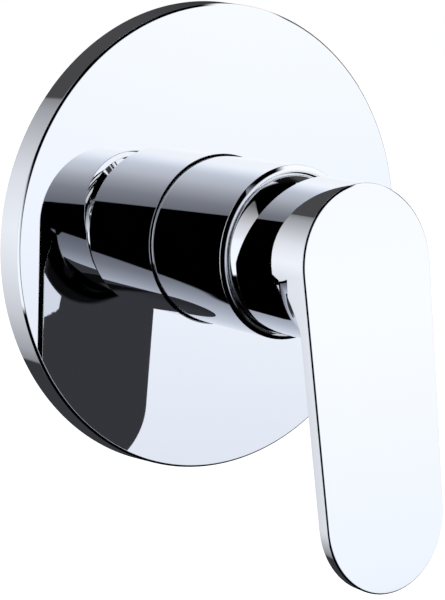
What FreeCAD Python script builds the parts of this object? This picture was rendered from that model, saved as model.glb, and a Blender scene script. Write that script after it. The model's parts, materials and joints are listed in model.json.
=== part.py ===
"""Concealed single-lever mixer: cover plate, sleeve and lever in front of the wall, valve body behind it.

Millimetres. The origin is the centre of the four fixing lugs, on the back plane of the valve body.
+Z is up and the user stands at -Y. "Out" in this file is the distance from the back plane towards -Y.
"""
import FreeCAD, Part

import math
import os

from FreeCAD import Vector

OUT = "parts"

# Clearances
running_clearance = 0.05
fit_clearance = 0.1
swivel_clearance = 0.2
play = 0.3

# Distances out from the back plane
finished_wall = 46.0
seat_out = 44.0
port_out = 19.0

# Cover plate
plate_radius = 75.0
plate_flare = 0.6
plate_depth = 9.7
plate_wall = 2.0
plate_rim_wall = 1.5
plate_chamfer = 0.7
plate_inner_corner = 1.0
plate_hole_clearance = 0.4
collar_wall = 3.0
collar_length = 6.5
gasket_width = 3.5
gasket_thickness = 3.5

# Sleeve
sleeve_length = 37.3
sleeve_gap = 0.7
sleeve_wall = 2.2
sleeve_tail = 5.0
sleeve_tail_chamfer = 0.5
sleeve_front_chamfer = 1.25
mouth_chamfer = 0.3
sleeve_ring_ahead = 4.0

# Lever handle
hub_gap = 3.8
hub_length = 31.4
hub_step = 2.0
hub_taper = 0.6
hub_wall = 2.0
hub_face_wall = 4.5
hub_relief_angle = 20.3
face_tilt = 7.0
blade_thickness = 4.0
blade_taper = 1.7
blade_end_drop = 73.2
blend_radius = 12.0
face_chamfer = 0.5
boss_radius = 8.5
boss_ahead = 27.7
grub_radius = 2.5
grub_key = 2.5
grub_key_depth = 2.0
grub_ahead = 4.2
cap_radius_small = 3.5
cap_recess = 1.4
cap_stem_length = 0.6
cap_inset = 0.05

# Spindle and its pivot
pivot_setback = 11.9
lower_arm = 13.0
stem_side = 8.0
stem_engagement = 9.0
stem_chamfer = 0.5
pivot_boss_radius = 5.5
ball_radius = 3.2
arm_radius_ball = 2.0
arm_radius_pivot = 3.8
pin_radius = 2.0
pin_chamfer = 0.3
pin_inset = 0.5
lift_angle = 20.0

# Dome cap over the cartridge
dome_radius = 46.0
dome_wall = 1.6
dome_edge_radius = 3.6
dome_edge_ahead = 8.3
dome_opening_radius = 17.0
cap_skirt_length = 6.6

# Cartridge
housing_radius = 20.0
housing_wall = 2.9
housing_foot = 2.0
rim_thickness = 3.0
rim_lip = 1.9
rim_chamfer = 0.5
shoulder_wall = 1.1
key_slot_radius = 1.2
key_slot_length = 8.0
base_thickness = 6.0
disc_thickness = 4.0
fixed_disc_radius = 15.0
fixed_disc_notch = 1.4
inlet_slot_radius = 9.5
inlet_slot_half_width = 2.3
inlet_slot_half_span = 22.0
inlet_slot_lift = 8.0
outlet_slot_radius = 8.5
outlet_slot_half_width = 2.6
outlet_slot_half_span = 16.0
moving_disc_radius = 11.5
disc_rest_offset = 2.4
disc_travel = 5.0
mixing_slot_radius = 3.6
mixing_slot_half_width = 2.6
mixing_slot_half_span = 60.0
mixing_slot_drop = 1.0
mixing_slot_depth = 2.4
drive_key_width = 4.0
drive_key_reach = 1.6
drive_key_depth = 2.0
carrier_plate_thickness = 5.0
carrier_block_width = 15.0
carrier_block_height = 13.0
carrier_block_rise = 1.2
carrier_ball_cover = 0.8
rotor_shoulder_ahead = 1.5
rotor_nose_length = 3.0
limit_ring_thickness = 3.0
limit_ring_width = 2.5
limit_ring_teeth = 12
limit_tooth_depth = 0.7
limit_tooth_width = 1.2

# Cartridge nut
nut_wall = 3.4
nut_length = 12.0
nut_below_rim = 10.0
nut_back_chamfer = 1.0
nut_front_chamfer = 0.6
nut_slot_width = 4.0
nut_slot_depth = 3.0

# Valve body
neck_wall = 2.1
neck_thread_depth = 7.0
neck_thread_relief = 1.0
neck_chamfer = 1.0
chamber_step = 0.9
chamber_back = 4.0
chamber_front = 38.0
chamber_back_chamfer = 2.0
chamber_front_chamfer = 1.5
port_reach = 44.0
port_boss_radius = 13.5
port_collar_width = 28.0
port_collar_length = 9.0
port_thread_radius = 9.32
port_thread_length = 13.0
port_mouth_chamfer = 0.8
passage_radius = 5.0
passage_overrun = 0.8
outlet_passage_radius = 4.5
seat_port_radius = 3.2
seat_port_offset = 10.0
outlet_port_offset = 9.5
lug_spacing = 44.0
lug_radius = 6.5
lug_thickness = 5.0
lug_hole_radius = 2.75

# Seals, pegs and the outlet plug
seal_width = 1.8
seal_height = 2.0
ring_groove = 1.2
peg_radius = 1.5
peg_length = 2.0
peg_offset = 15.5
peg_angle = 40.0
plug_flange_radius = 12.5
plug_flange_thickness = 3.5
plug_chamfer = 0.6
plug_key = 10.0
plug_key_depth = 6.0
plug_end_gap = 1.5
washer_thickness = 1.5
washer_inset = 0.5

# How far a cutting tool runs past the face it cuts
overrun = 1.0

# Places worked out from the sizes above
housing_bore = housing_radius - housing_wall
shoulder_radius = housing_bore + shoulder_wall
nut_bore = shoulder_radius + play
nut_thread_radius = nut_bore + nut_wall
neck_radius = nut_thread_radius + fit_clearance + neck_wall
chamber_radius = neck_radius + chamber_step
sleeve_bore = neck_radius + sleeve_gap
sleeve_radius = sleeve_bore + sleeve_wall
hub_back_radius = sleeve_radius - hub_step
hub_radius = hub_back_radius - hub_taper
blade_end_radius = hub_radius - blade_taper
plate_back_radius = plate_radius + plate_flare
plate_front = finished_wall + plate_depth
plate_inside = plate_front - plate_wall
plate_hole = sleeve_radius + plate_hole_clearance
sleeve_back = finished_wall - sleeve_tail
sleeve_front = plate_front + sleeve_length
sleeve_ring_out = plate_front + sleeve_ring_ahead
pivot_out = sleeve_front - pivot_setback
ball_out = pivot_out - lower_arm
hub_back = sleeve_front + hub_gap
face_out = hub_back + hub_length
hub_inner = hub_back_radius - hub_wall
cap_skirt_radius = sleeve_bore - fit_clearance
dome_base = pivot_out + dome_edge_ahead
dome_edge_centre = cap_skirt_radius - dome_edge_radius
dome_edge_turn = math.asin(dome_edge_centre / (dome_radius - dome_edge_radius))
dome_centre = dome_base - (dome_radius - dome_edge_radius) * math.cos(dome_edge_turn)
boss_back = pivot_out + boss_ahead
grub_out = boss_back + grub_ahead
housing_back = seat_out + base_thickness - housing_foot
base_top = seat_out + base_thickness
fixed_top = base_top + disc_thickness
moving_top = fixed_top + disc_thickness
carrier_top = moving_top + carrier_plate_thickness
block_top = ball_out + carrier_ball_cover
rotor_back = carrier_top + play
rotor_radius = housing_bore - swivel_clearance
rotor_shoulder = pivot_out + rotor_shoulder_ahead
rim_back = rotor_shoulder + fit_clearance
rim_front = rim_back + rim_thickness
rim_bore = housing_bore - rim_lip
rotor_nose_radius = rim_bore - swivel_clearance
rotor_front = rim_front + rotor_nose_length
shoulder_out = rim_front - nut_below_rim
nut_front = shoulder_out + nut_length
neck_front = shoulder_out + neck_thread_depth
neck_bore = housing_radius + fit_clearance
neck_groove = neck_radius - ring_groove
lug_circle_radius = lug_spacing / math.sqrt(2)
plug_face = -port_reach - washer_thickness


def at(x, out, z):
    """A point given by its distance out from the back plane."""
    return Vector(x, -out, z)


def lathe(*steps):
    """Solid of revolution about Y. A step is (radius, out), or an arc's middle and end as four numbers."""
    edges = []
    start = at(steps[0][0], steps[0][1], 0)
    for step in steps[1:] + (steps[0][:2],):
        end = at(step[-2], step[-1], 0)
        if len(step) == 4:
            edges.append(Part.Arc(start, at(step[0], step[1], 0), end).toShape())
        elif start.distanceToPoint(end) > 1e-9:
            edges.append(Part.LineSegment(start, end).toShape())
        start = end
    return Part.Face(Part.Wire(edges)).revolve(Vector(0, 0, 0), Vector(0, 1, 0), 360)


def tube(outer, inner, back, front):
    return lathe((inner, back), (outer, back), (outer, front), (inner, front))


def rod(radius, back, front, x=0.0, z=0.0):
    """Cylinder along Y between two distances out."""
    return Part.makeCylinder(radius, front - back, at(x, back, z), Vector(0, -1, 0))


def rod_x(radius, start, end, out):
    return Part.makeCylinder(radius, end - start, at(start, out, 0), Vector(1, 0, 0))


def rod_z(radius, start, end, out):
    return Part.makeCylinder(radius, end - start, at(0, out, start), Vector(0, 0, 1))


def block(x_low, x_high, back, front, z_low, z_high):
    """Box between two X values, two distances out and two Z values."""
    return Part.makeBox(x_high - x_low, front - back, z_high - z_low, at(x_low, front, z_low))


def polygon_bar(sides, width, height):
    """Regular prism standing on the origin along Z, with its width measured across flats."""
    corner = width / 2 / math.cos(math.pi / sides)
    step = 2 * math.pi / sides
    turns = [step * (k + 0.5) for k in range(sides + 1)]
    points = [Vector(corner * math.cos(turn), corner * math.sin(turn), 0) for turn in turns]
    return Part.Face(Part.makePolygon(points)).extrude(Vector(0, 0, height))


def turned(shape, degrees):
    """The shape turned about the main axis."""
    copy = shape.copy()
    copy.rotate(Vector(0, 0, 0), Vector(0, 1, 0), degrees)
    return copy


def o_ring(inner_radius, outer_radius, out):
    """Round rubber ring about the main axis, between two radii."""
    section = (outer_radius - inner_radius) / 2
    ring = Part.makeTorus(inner_radius + section, section)
    ring.rotate(Vector(0, 0, 0), Vector(1, 0, 0), 90)
    ring.translate(at(0, out, 0))
    return ring


def ring_seal(back, x, z):
    """Flat seal ring round one port of the cartridge's foot."""
    outer = rod(seat_port_radius + seal_width, back, back + seal_height, x, z)
    return outer.cut(rod(seat_port_radius, back - overrun, back + seal_height + overrun, x, z))


def curved_slot(path_radius, half_width, middle_angle, half_span, back, front):
    """Curved slot about the main axis, with round ends."""
    low = middle_angle - half_span
    high = middle_angle + half_span
    outer = path_radius + half_width
    inner = path_radius - half_width
    end_turn = math.degrees(half_width / path_radius)

    def point(radius, angle):
        turn = math.radians(angle)
        return at(radius * math.cos(turn), back, radius * math.sin(turn))

    edges = [
        Part.Arc(point(outer, low), point(outer, middle_angle), point(outer, high)).toShape(),
        Part.Arc(point(outer, high), point(path_radius, high + end_turn), point(inner, high)).toShape(),
        Part.Arc(point(inner, high), point(inner, middle_angle), point(inner, low)).toShape(),
        Part.Arc(point(inner, low), point(path_radius, low - end_turn), point(outer, low)).toShape(),
    ]
    return Part.Face(Part.Wire(edges)).extrude(Vector(0, back - front, 0))


def port_places():
    """Hot inlet on the left, cold inlet on the right, mixed outlet below, as (x, z)."""
    return [(-seat_port_offset, 0.0), (seat_port_offset, 0.0), (0.0, -outlet_port_offset)]


def peg_places():
    turns = [math.radians(90 - peg_angle), math.radians(90 + peg_angle)]
    return [(peg_offset * math.cos(turn), peg_offset * math.sin(turn)) for turn in turns]


def port_boss():
    """Upward port of the body: round boss with an octagonal collar for a spanner."""
    boss = rod_z(port_boss_radius, 0, port_reach, port_out)
    collar = polygon_bar(8, port_collar_width, port_collar_length)
    collar.translate(at(0, port_out, port_reach - port_collar_length))
    return boss.fuse(collar)


def port_tool():
    """Cutter for the upward port's thread and its mouth."""
    thread = rod_z(port_thread_radius, port_reach - port_thread_length, port_reach + overrun, port_out)
    mouth = Part.makeCone(port_thread_radius, port_thread_radius + port_mouth_chamfer + overrun,
                          port_mouth_chamfer + overrun, at(0, port_out, port_reach - port_mouth_chamfer))
    return thread.fuse(mouth)


def lug():
    """Fixing lug that reaches to +X from the body's middle."""
    arm = block(0, lug_circle_radius, 0, lug_thickness, -lug_radius, lug_radius)
    return arm.fuse(rod(lug_radius, 0, lug_thickness, lug_circle_radius, 0))


def valve_body():
    body = lathe((0, chamber_back), (chamber_radius - chamber_back_chamfer, chamber_back),
                 (chamber_radius, chamber_back + chamber_back_chamfer),
                 (chamber_radius, chamber_front - chamber_front_chamfer),
                 (chamber_radius - chamber_front_chamfer, chamber_front), (neck_radius, chamber_front),
                 (neck_radius, neck_front - neck_chamfer), (neck_radius - neck_chamfer, neck_front),
                 (0, neck_front))
    lug_turns = [45 + 90 * index for index in range(4)]
    port_turns = [90 * index for index in range(4)]
    for turn in port_turns:
        body = body.fuse(turned(port_boss(), turn))
    for turn in lug_turns:
        body = body.fuse(turned(lug(), turn))
    lug_hole = rod(lug_hole_radius, -overrun, lug_thickness + overrun, lug_circle_radius, 0)
    body = body.cut([turned(lug_hole, turn) for turn in lug_turns])
    body = body.cut(rod(neck_bore, seat_out, neck_front + overrun))
    body = body.cut(rod(nut_thread_radius + fit_clearance, shoulder_out - neck_thread_relief,
                        neck_front + overrun))
    body = body.cut(tube(neck_radius + overrun, neck_groove, sleeve_ring_out - ring_groove,
                         sleeve_ring_out + ring_groove))
    body = body.cut([turned(port_tool(), turn) for turn in port_turns])
    inlet_end = seat_port_offset - seat_port_radius - passage_overrun
    for side in (-1, 1):
        body = body.cut(Part.makeCylinder(passage_radius, port_reach - inlet_end, at(side * port_reach, port_out, 0),
                                          Vector(-side, 0, 0)))
    body = body.cut(rod_z(outlet_passage_radius, -port_reach, port_reach, port_out))
    for x, z in port_places():
        body = body.cut(rod(seat_port_radius, port_out, seat_out + overrun, x, z))
    for x, z in peg_places():
        body = body.cut(rod(peg_radius + fit_clearance, seat_out - peg_length - play, seat_out + overrun, x, z))
    return body.removeSplitter()


def spare_outlet_plug():
    """Screwed plug that blanks the lower outlet."""
    back = plug_face - plug_flange_thickness
    flange = rod_z(plug_flange_radius, back, plug_face, port_out)
    flange = flange.makeChamfer(plug_chamfer, [edge for edge in flange.Edges if edge.BoundBox.ZMax < plug_face])
    shank = rod_z(port_thread_radius - fit_clearance, plug_face,
                  -port_reach + port_thread_length - plug_end_gap, port_out)
    key = polygon_bar(6, plug_key, plug_key_depth + overrun)
    key.translate(at(0, port_out, back - overrun))
    return flange.fuse(shank).cut(key).removeSplitter()


def plug_washer():
    outer = rod_z(plug_flange_radius - washer_inset, plug_face, -port_reach, port_out)
    return outer.cut(rod_z(port_thread_radius + port_mouth_chamfer, plug_face - overrun,
                           -port_reach + overrun, port_out))


def cover_plate():
    """Thin shell with a deep rim, and a grooved collar behind its hole that grips the sleeve."""
    collar_back = plate_inside - collar_length
    groove_back = plate_inside - collar_length / 2 - ring_groove
    groove_front = plate_inside - collar_length / 2 + ring_groove
    groove_radius = plate_hole + ring_groove
    rim_front_inner = plate_radius - plate_rim_wall
    return lathe((plate_hole, collar_back), (plate_hole + collar_wall, collar_back),
                 (plate_hole + collar_wall, plate_inside), (rim_front_inner - plate_inner_corner, plate_inside),
                 (rim_front_inner, plate_inside - plate_inner_corner),
                 (plate_back_radius - plate_rim_wall, finished_wall), (plate_back_radius, finished_wall),
                 (plate_radius, plate_front - plate_chamfer), (plate_radius - plate_chamfer, plate_front),
                 (plate_hole + mouth_chamfer, plate_front), (plate_hole, plate_front - mouth_chamfer),
                 (plate_hole, groove_front), (groove_radius, groove_front), (groove_radius, groove_back),
                 (plate_hole, groove_back))


def plate_o_ring():
    """Rubber ring in the plate's collar, against the sleeve."""
    return o_ring(sleeve_radius, plate_hole + ring_groove, plate_inside - collar_length / 2)


def plate_gasket():
    """Foam ring inside the rim, against the wall."""
    outer = plate_radius - plate_rim_wall
    return tube(outer, outer - gasket_width, finished_wall, finished_wall + gasket_thickness)


def sleeve():
    return lathe((sleeve_bore, sleeve_back), (sleeve_radius - sleeve_tail_chamfer, sleeve_back),
                 (sleeve_radius, sleeve_back + sleeve_tail_chamfer),
                 (sleeve_radius, sleeve_front - sleeve_front_chamfer),
                 (sleeve_radius - sleeve_front_chamfer, sleeve_front),
                 (sleeve_bore + mouth_chamfer, sleeve_front), (sleeve_bore, sleeve_front - mouth_chamfer))


def sleeve_o_ring():
    """Rubber ring in the neck's groove that holds the sleeve."""
    return o_ring(neck_groove, sleeve_bore, sleeve_ring_out)


def dome_cap():
    """Cap screwed onto the cartridge nut: straight skirt, round edge, then a shallow dome round the spindle."""
    inner_radius = dome_radius - dome_wall
    skirt_bore = nut_thread_radius + fit_clearance
    skirt_back = dome_base - cap_skirt_length

    def on_edge(turn):
        return (dome_edge_centre + dome_edge_radius * math.sin(turn),
                dome_base + dome_edge_radius * math.cos(turn))

    def on_dome(radius, distance):
        return distance, dome_centre + math.sqrt(radius ** 2 - distance ** 2)

    edge_middle = on_edge((math.pi / 2 + dome_edge_turn) / 2)
    edge_end = on_edge(dome_edge_turn)
    outer_middle = on_dome(dome_radius, (edge_end[0] + dome_opening_radius) / 2)
    inner_middle = on_dome(inner_radius, (skirt_bore + dome_opening_radius) / 2)
    return lathe((skirt_bore, skirt_back), (cap_skirt_radius, skirt_back), (cap_skirt_radius, dome_base),
                 edge_middle + edge_end, outer_middle + on_dome(dome_radius, dome_opening_radius),
                 on_dome(inner_radius, dome_opening_radius), inner_middle + on_dome(inner_radius, skirt_bore))


def cartridge_nut():
    """Threaded ring that clamps the cartridge, with four slots for its spanner."""
    nut = lathe((nut_bore, shoulder_out), (nut_thread_radius - nut_back_chamfer, shoulder_out),
                (nut_thread_radius, shoulder_out + nut_back_chamfer),
                (nut_thread_radius, nut_front - nut_front_chamfer),
                (nut_thread_radius - nut_front_chamfer, nut_front), (nut_bore, nut_front))
    slot = block(nut_bore - overrun, nut_thread_radius + overrun, nut_front - nut_slot_depth, nut_front + overrun,
                 -nut_slot_width / 2, nut_slot_width / 2)
    return nut.cut([turned(slot, 90 * index) for index in range(4)])


def cartridge_housing():
    """Plastic barrel round the discs and rotor, with a shoulder for the nut and a rim that keeps the rotor in."""
    housing = lathe((housing_bore, housing_back), (housing_radius, housing_back), (housing_radius, shoulder_out),
                    (shoulder_radius, shoulder_out), (shoulder_radius, rim_front - rim_chamfer),
                    (shoulder_radius - rim_chamfer, rim_front), (rim_bore, rim_front), (rim_bore, rim_back),
                    (housing_bore, rim_back))
    slot = rod(key_slot_radius, housing_back - overrun, housing_back + key_slot_length, housing_radius, 0)
    return housing.cut([turned(slot, turn) for turn in (0, 90, 180)])


def cartridge_base():
    """Foot of the cartridge: three ports, seal pockets on both faces, two locating pegs."""
    spigot = housing_bore - fit_clearance
    base = lathe((0, seat_out), (housing_radius, seat_out), (housing_radius, housing_back),
                 (spigot, housing_back), (spigot, base_top), (0, base_top))
    for x, z in port_places():
        base = base.cut([rod(seat_port_radius, seat_out - overrun, base_top + overrun, x, z),
                         rod(seat_port_radius + seal_width, seat_out - overrun, seat_out + seal_height, x, z),
                         rod(seat_port_radius + seal_width, base_top - seal_height, base_top + overrun, x, z)])
    for x, z in peg_places():
        base = base.fuse(rod(peg_radius, seat_out - peg_length, seat_out, x, z))
    return base.removeSplitter()


def base_seals():
    return Part.makeCompound([ring_seal(seat_out, x, z) for x, z in port_places()])


def disc_seals():
    return Part.makeCompound([ring_seal(base_top - seal_height, x, z) for x, z in port_places()])


def fixed_disc():
    """Ceramic disc with two curved inlet ports, one outlet port and three edge notches."""
    back = base_top - overrun
    front = fixed_top + overrun
    disc = rod(fixed_disc_radius, base_top, fixed_top)
    for middle in (inlet_slot_lift, 180 - inlet_slot_lift):
        disc = disc.cut(curved_slot(inlet_slot_radius, inlet_slot_half_width, middle, inlet_slot_half_span,
                                    back, front))
    disc = disc.cut(curved_slot(outlet_slot_radius, outlet_slot_half_width, -90, outlet_slot_half_span,
                                back, front))
    notch = rod(fixed_disc_notch, back, front, fixed_disc_radius, 0)
    return disc.cut([turned(notch, turn) for turn in (30, 150, 270)])


def drive_keys(clearance):
    """Two keys on the disc's sides by which the carrier drags it, thinner by the clearance."""
    reach = drive_key_reach - clearance
    half = drive_key_width / 2 - clearance
    front = moving_top + overrun if clearance == 0 else moving_top
    return [block(side * moving_disc_radius - reach, side * moving_disc_radius + reach,
                  moving_top - drive_key_depth + clearance, front,
                  disc_rest_offset - half, disc_rest_offset + half) for side in (-1, 1)]


def moving_disc():
    """Ceramic disc with the mixing chamber in its back face, in the place where the ports are shut."""
    disc = rod(moving_disc_radius, fixed_top, moving_top, 0, disc_rest_offset)
    chamber = curved_slot(mixing_slot_radius, mixing_slot_half_width, -90, mixing_slot_half_span,
                          fixed_top - overrun, fixed_top + mixing_slot_depth)
    chamber.translate(Vector(0, 0, disc_rest_offset - mixing_slot_drop))
    return disc.cut([chamber] + drive_keys(0))


def disc_carrier():
    """Slider that takes the spindle's ball and drags the moving disc."""
    half_width = carrier_block_width / 2
    half_height = carrier_block_height / 2
    carrier = rod(moving_disc_radius, moving_top, carrier_top, 0, disc_rest_offset)
    carrier = carrier.fuse(block(-half_width, half_width, carrier_top, block_top,
                                 carrier_block_rise - half_height, carrier_block_rise + half_height))
    rim = rod(moving_disc_radius, moving_top - disc_thickness, moving_top, 0, disc_rest_offset)
    carrier = carrier.fuse([key.common(rim) for key in drive_keys(fit_clearance)])
    socket_radius = ball_radius + play
    socket = rod(socket_radius, ball_out - socket_radius, block_top + overrun)
    return carrier.cut(socket).removeSplitter()


def rotor_slots():
    """Space in the rotor for the carrier, which slides, and the spindle, which tilts."""
    half_width = carrier_block_width / 2 + swivel_clearance
    half_height = carrier_block_height / 2
    carrier_space = block(-half_width, half_width, rotor_back - overrun, block_top + play,
                          carrier_block_rise - half_height - disc_travel - play,
                          carrier_block_rise + half_height + play)
    lift = math.radians(lift_angle)
    stem_half = stem_side / 2
    slot_half = stem_half + swivel_clearance
    stem_top = (rotor_front - pivot_out) * math.tan(lift) + stem_half / math.cos(lift) + play
    arm_low = lower_arm * math.sin(lift) + ball_radius + 2 * play
    stem_space = block(-slot_half, slot_half, ball_out, rotor_front + overrun,
                       -arm_low, max(stem_top, pivot_boss_radius + play))
    return [carrier_space, stem_space]


def rotor():
    """Plastic guide that turns in the housing and carries the lever's pivot pin."""
    body = lathe((0, rotor_back), (rotor_radius, rotor_back), (rotor_radius, rotor_shoulder),
                 (rotor_nose_radius, rotor_shoulder), (rotor_nose_radius, rotor_front - rim_chamfer),
                 (rotor_nose_radius - rim_chamfer, rotor_front), (0, rotor_front))
    pin_hole = rod_x(pin_radius, -rotor_radius - overrun, rotor_radius + overrun, pivot_out)
    return body.cut(rotor_slots() + [pin_hole])


def pivot_pin():
    half = math.sqrt(rotor_nose_radius ** 2 - pin_radius ** 2) - pin_inset
    pin = rod_x(pin_radius, -half, half, pivot_out)
    return pin.makeChamfer(pin_chamfer, [edge for edge in pin.Edges if edge.BoundBox.XLength < pin_chamfer])


def limit_ring():
    """Toothed ring on the housing's rim that limits how far the lever turns to hot."""
    outer = rim_bore + limit_ring_width
    ring = tube(outer, rim_bore, rim_front, rim_front + limit_ring_thickness)
    gap = block(outer - limit_tooth_depth, outer + overrun, rim_front - overrun,
                rim_front + limit_ring_thickness + overrun, -limit_tooth_width / 2, limit_tooth_width / 2)
    pitch = 360 / limit_ring_teeth
    return ring.cut([turned(gap, pitch * (index + 0.5)) for index in range(limit_ring_teeth)])


def spindle():
    """Steel lever spindle: ball at the back, pivot boss, square stem that carries the handle."""
    half = stem_side / 2
    stem_front = boss_back + stem_engagement
    stem = block(-half, half, pivot_out, stem_front, -half, half)
    stem = stem.makeChamfer(stem_chamfer, [edge for edge in stem.Edges
                                           if edge.BoundBox.YMax < -stem_front + stem_chamfer])
    boss = rod_x(pivot_boss_radius, -half, half, pivot_out)
    arm = Part.makeCone(arm_radius_ball, arm_radius_pivot, lower_arm, at(0, ball_out, 0), Vector(0, -1, 0))
    ball = Part.makeSphere(ball_radius, at(0, ball_out, 0))
    pin_hole = rod_x(pin_radius + running_clearance, -half - overrun, half + overrun, pivot_out)
    return stem.fuse([boss, arm, ball]).cut(pin_hole).removeSplitter()


def face_at(z, depth=0.0):
    """Distance out of the lever's tilted face at height z, or of a parallel plane deeper in the metal."""
    tilt = math.radians(face_tilt)
    return face_out - z * math.tan(tilt) - depth / math.cos(tilt)


def on_face_plane(edge):
    """True for an edge that lies in the lever's front face."""
    return all(abs(point.y + face_at(point.z)) < 1e-4 for point in edge.discretize(5))


def lever_outline(back, front):
    """Prism along Y with the lever's outline: hub end above, slightly narrower round end below."""
    slope = math.asin((hub_radius - blade_end_radius) / blade_end_drop)
    right = -slope
    left = math.pi + slope

    def rim_point(radius, angle, drop):
        return at(radius * math.cos(angle), back, radius * math.sin(angle) - drop)

    top_left = rim_point(hub_radius, left, 0)
    top_right = rim_point(hub_radius, right, 0)
    low_left = rim_point(blade_end_radius, left, blade_end_drop)
    low_right = rim_point(blade_end_radius, right, blade_end_drop)
    edges = [
        Part.Arc(top_right, rim_point(hub_radius, math.pi / 2, 0), top_left).toShape(),
        Part.LineSegment(top_left, low_left).toShape(),
        Part.Arc(low_left, rim_point(blade_end_radius, -math.pi / 2, blade_end_drop), low_right).toShape(),
        Part.LineSegment(low_right, top_right).toShape(),
    ]
    return Part.Face(Part.Wire(edges)).extrude(Vector(0, back - front, 0))


def side_prism(points):
    """Prism across the whole lever from an outline of (out, z) points."""
    reach = hub_back_radius + overrun
    wire = Part.makePolygon([at(-reach, out, z) for out, z in points + points[:1]])
    return Part.Face(wire).extrude(Vector(2 * reach, 0, 0))


def hub_cone_end():
    """Distance out where the hub stops narrowing, behind the top of the face."""
    return face_at(hub_radius, blade_thickness)


def hub_radius_at(out):
    """Radius of the hub, which narrows a little from its back edge towards the face."""
    return hub_back_radius + (hub_radius - hub_back_radius) * (out - hub_back) / (hub_cone_end() - hub_back)


def hub_flare():
    """Solid about the main axis whose concave flank blends the hub into the back of the blade."""
    turn = math.radians(90 - face_tilt)
    root = hub_radius_at(face_at(-hub_radius, blade_thickness) - blend_radius)
    wide = root + blend_radius * (1 - math.cos(turn))
    end = face_at(-wide, blade_thickness)
    start = end - blend_radius * math.sin(turn)
    middle_radius = root + blend_radius * (1 - math.cos(turn / 2))
    middle_out = start + blend_radius * math.sin(turn / 2)
    front = end + blade_thickness / 2
    return lathe((0, start), (root, start), (middle_radius, middle_out, wide, end), (wide, front), (0, front))


def cap_seat():
    """Height of the ledge that the screw cap sits on, under the hub."""
    return cap_recess - math.sqrt(hub_radius_at(grub_out) ** 2 - cap_radius_small ** 2)


def lever_handle():
    """Hub and blade cast in one: round hub, flat tilted face, concave blend under the hub."""
    top = hub_back_radius + overrun
    bottom = -blade_end_drop - blade_end_radius - overrun
    far = face_at(bottom) + overrun
    outline = lever_outline(hub_back, far)
    slab = side_prism([(face_at(top, blade_thickness), top), (far, top), (far, bottom),
                       (face_at(bottom, blade_thickness), bottom)])
    front_cut = side_prism([(face_at(top), top), (far + overrun, top), (far + overrun, bottom),
                            (face_at(bottom), bottom)])
    hub = lathe((0, hub_back), (hub_back_radius, hub_back), (hub_radius, hub_cone_end()), (hub_radius, far),
                (0, far))
    handle = hub.fuse([outline.common(hub_flare()), outline.common(slab)])
    handle = handle.cut(front_cut).removeSplitter()
    handle = handle.makeChamfer(face_chamfer, [edge for edge in handle.Edges if on_face_plane(edge)])
    relief_top = hub_back + top * math.tan(math.radians(hub_relief_angle))
    relief = side_prism([(hub_back - overrun, 0), (hub_back, 0), (relief_top, top), (hub_back - overrun, top)])
    hollow_front = face_at(hub_inner) - hub_face_wall
    hollow = rod(hub_inner, hub_back - overrun, hollow_front).cut(rod(boss_radius, boss_back, hollow_front))
    socket_half = stem_side / 2 + running_clearance
    socket = block(-socket_half, socket_half, boss_back - overrun, boss_back + stem_engagement + play,
                   -socket_half, socket_half)
    grub_hole = rod_z(grub_radius + running_clearance, -top, 0, grub_out)
    cap_hole = rod_z(cap_radius_small + running_clearance, -top, cap_seat(), grub_out)
    return handle.cut([relief, hollow, socket, grub_hole, cap_hole])


def grub_screw():
    """Set screw that clamps the handle on the spindle."""
    low = -boss_radius + play
    screw = rod_z(grub_radius, low, -stem_side / 2, grub_out)
    key = polygon_bar(6, grub_key, grub_key_depth + overrun)
    key.translate(at(0, grub_out, low - overrun))
    return screw.cut(key)


def screw_cap():
    """Small plastic cap over the set screw's hole, flush with the underside of the hub."""
    cap = rod_z(cap_radius_small, -hub_radius - overrun, cap_seat(), grub_out)
    under = hub_radius_at(grub_out) - cap_inset
    cap = cap.common(rod(under, grub_out - 2 * cap_radius_small, grub_out + 2 * cap_radius_small))
    stem = rod_z(grub_radius - fit_clearance, cap_seat(), cap_seat() + cap_stem_length, grub_out)
    return cap.fuse(stem)


SUB_PARTS = [
    valve_body, spare_outlet_plug, plug_washer, cover_plate, plate_o_ring, plate_gasket, sleeve, sleeve_o_ring,
    dome_cap, cartridge_nut, cartridge_housing, cartridge_base, base_seals, disc_seals, fixed_disc, limit_ring,
    rotor, pivot_pin, disc_carrier, moving_disc, spindle, lever_handle, grub_screw, screw_cap,
]


def main():
    os.makedirs(OUT, exist_ok=True)
    for make in SUB_PARTS:
        shape = make()
        assert shape.isValid() and shape.Solids, make.__name__
        shape.exportStep(os.path.join(OUT, make.__name__ + ".step"))
        print("%-20s %d solid(s) %10.1f mm3" % (make.__name__, len(shape.Solids), shape.Volume))


main()
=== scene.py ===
"""Finish and studio for a concealed single-lever mixer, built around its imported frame.

Metres, +Z up, user at -Y. "Out" is the distance from the back plane of the valve body towards -Y, as in the
part's source.
"""

import functools
import json
import math

import bpy
from mathutils import Matrix, Vector


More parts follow.
